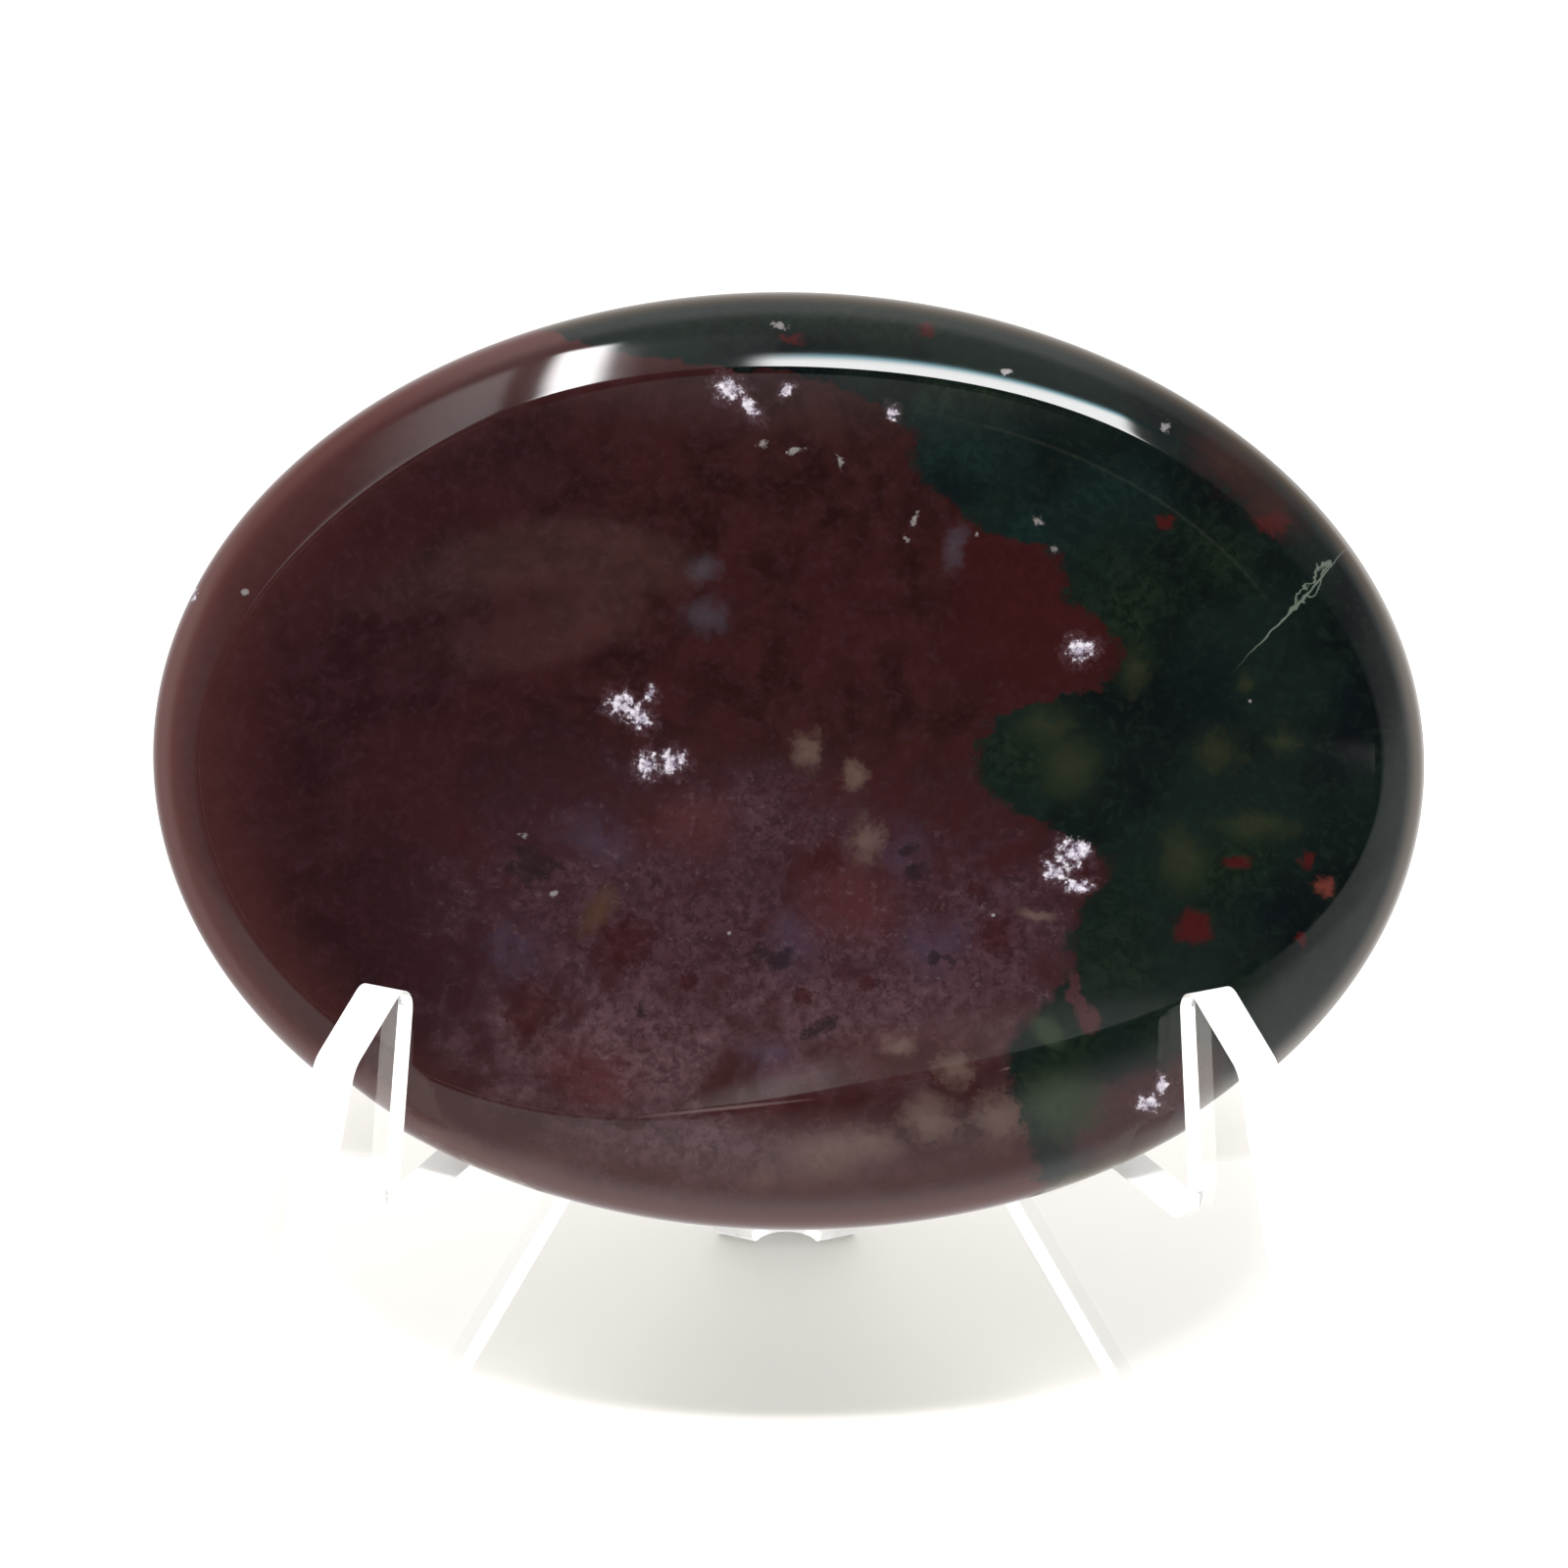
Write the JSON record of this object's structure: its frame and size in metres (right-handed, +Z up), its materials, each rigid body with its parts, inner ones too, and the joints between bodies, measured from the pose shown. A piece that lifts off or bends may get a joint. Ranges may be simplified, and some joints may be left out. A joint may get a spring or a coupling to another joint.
{
  "type": "agate worry stone on a stand",
  "caption": "Oval polished agate worry stone with a shallow thumb dish, leaning upright in a clear folded plastic easel stand.",
  "frame": {"origin": "on the surface the stand's feet rest on, under the middle of the whole object", "axes": "+Z up, +X to the right seen from the front, -Y towards the viewer that the stone's dished face looks at"},
  "size_m": [0.045, 0.0399, 0.0431],
  "materials": {
    "agate": "polished",
    "clear_acrylic": "gloss"
  },
  "bodies": {
    "root": {"worry_stone": "agate", "display_stand": "clear_acrylic"}
  },
  "joints": []
}
